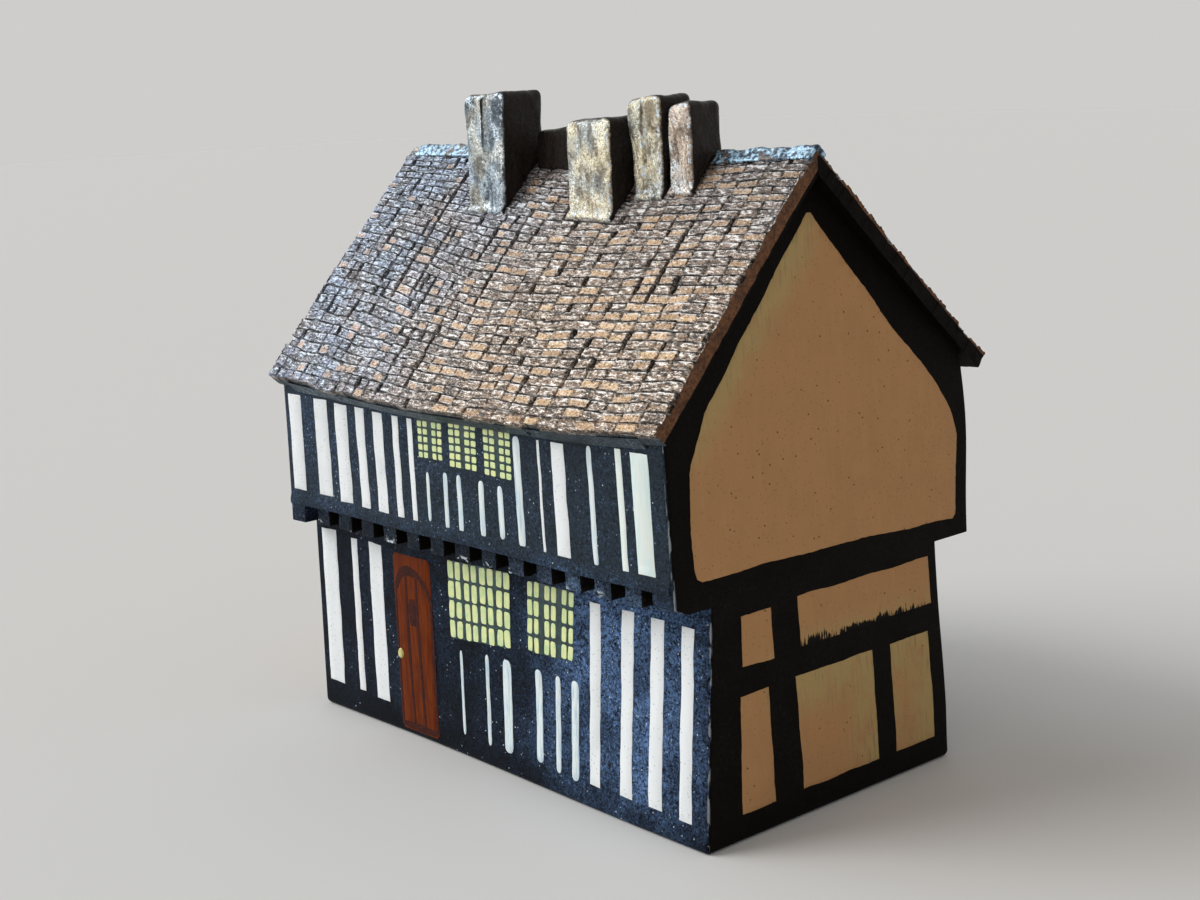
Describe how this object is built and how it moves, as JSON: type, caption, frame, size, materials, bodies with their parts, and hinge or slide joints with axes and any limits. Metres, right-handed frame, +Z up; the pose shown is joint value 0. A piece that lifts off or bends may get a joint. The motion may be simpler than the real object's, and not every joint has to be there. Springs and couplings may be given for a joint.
{
  "type": "ceramic model cottage",
  "caption": "Small slab-built pottery model of a jettied timber-framed cottage with a lustre-glazed tile roof, clustered chimneys and painted door, windows and framing.",
  "frame": {"origin": "on the surface that the model stands on, under the middle of the roof's box", "axes": "+Z up, the painted door on the -Y side, the fluted left chimney towards -X"},
  "size_m": [0.1001, 0.0736, 0.1069],
  "materials": {
    "bare_clay": "fired bare clay with fine dark specks",
    "black_paint": "brushed blue-black paint, semi-gloss, worn at the corners",
    "cream_panel": "bare pale clay and cream paint left between the painted timbers",
    "yellow_pane": "yellow-green dabs of paint between dark glazing lines",
    "red_brown_door": "red-brown paint with dark plank lines",
    "pale_knob": "dot of pale yellow paint",
    "tile_lustre": "copper-brown metallic lustre glaze over impressed tiles",
    "ridge_glaze": "silver-blue glossy glaze",
    "stack_lustre": "gold-bronze lustre glaze, darker in the grooves"
  },
  "bodies": {
    "root": {"back_ground_panels": "cream_panel", "back_ground_wall": "black_paint", "back_ground_window_1": "yellow_pane", "back_ground_window_2": "yellow_pane", "back_jetty_floor": "black_paint", "back_jetty_lip": "black_paint", "back_joist_ends": "black_paint", "back_roof_slope": "tile_lustre", "back_upper_panels": "cream_panel", "back_upper_wall": "black_paint", "back_upper_window_1": "yellow_pane", "back_upper_window_2": "yellow_pane", "back_upper_window_3": "yellow_pane", "base_slab": "bare_clay", "chimney_spine": "stack_lustre", "front_door": "red_brown_door", "front_door_knob": "pale_knob", "front_ground_panels": "cream_panel", "front_ground_wall": "black_paint", "front_ground_window_1": "yellow_pane", "front_ground_window_2": "yellow_pane", "front_jetty_floor": "black_paint", "front_jetty_lip": "black_paint", "front_joist_ends": "black_paint", "front_roof_slope": "tile_lustre", "front_upper_panels": "cream_panel", "front_upper_wall": "black_paint", "front_upper_window_1": "yellow_pane", "front_upper_window_2": "yellow_pane", "front_upper_window_3": "yellow_pane", "left_chimney": "stack_lustre", "left_gable_panel": "cream_panel", "left_gable_wall": "black_paint", "left_ground_panels": "cream_panel", "left_ridge_strip": "ridge_glaze", "middle_chimney": "stack_lustre", "right_chimney_short": "stack_lustre", "right_chimney_tall": "stack_lustre", "right_gable_panel": "cream_panel", "right_gable_wall": "black_paint", "right_ground_panels": "cream_panel", "right_ridge_strip": "ridge_glaze"}
  },
  "joints": []
}
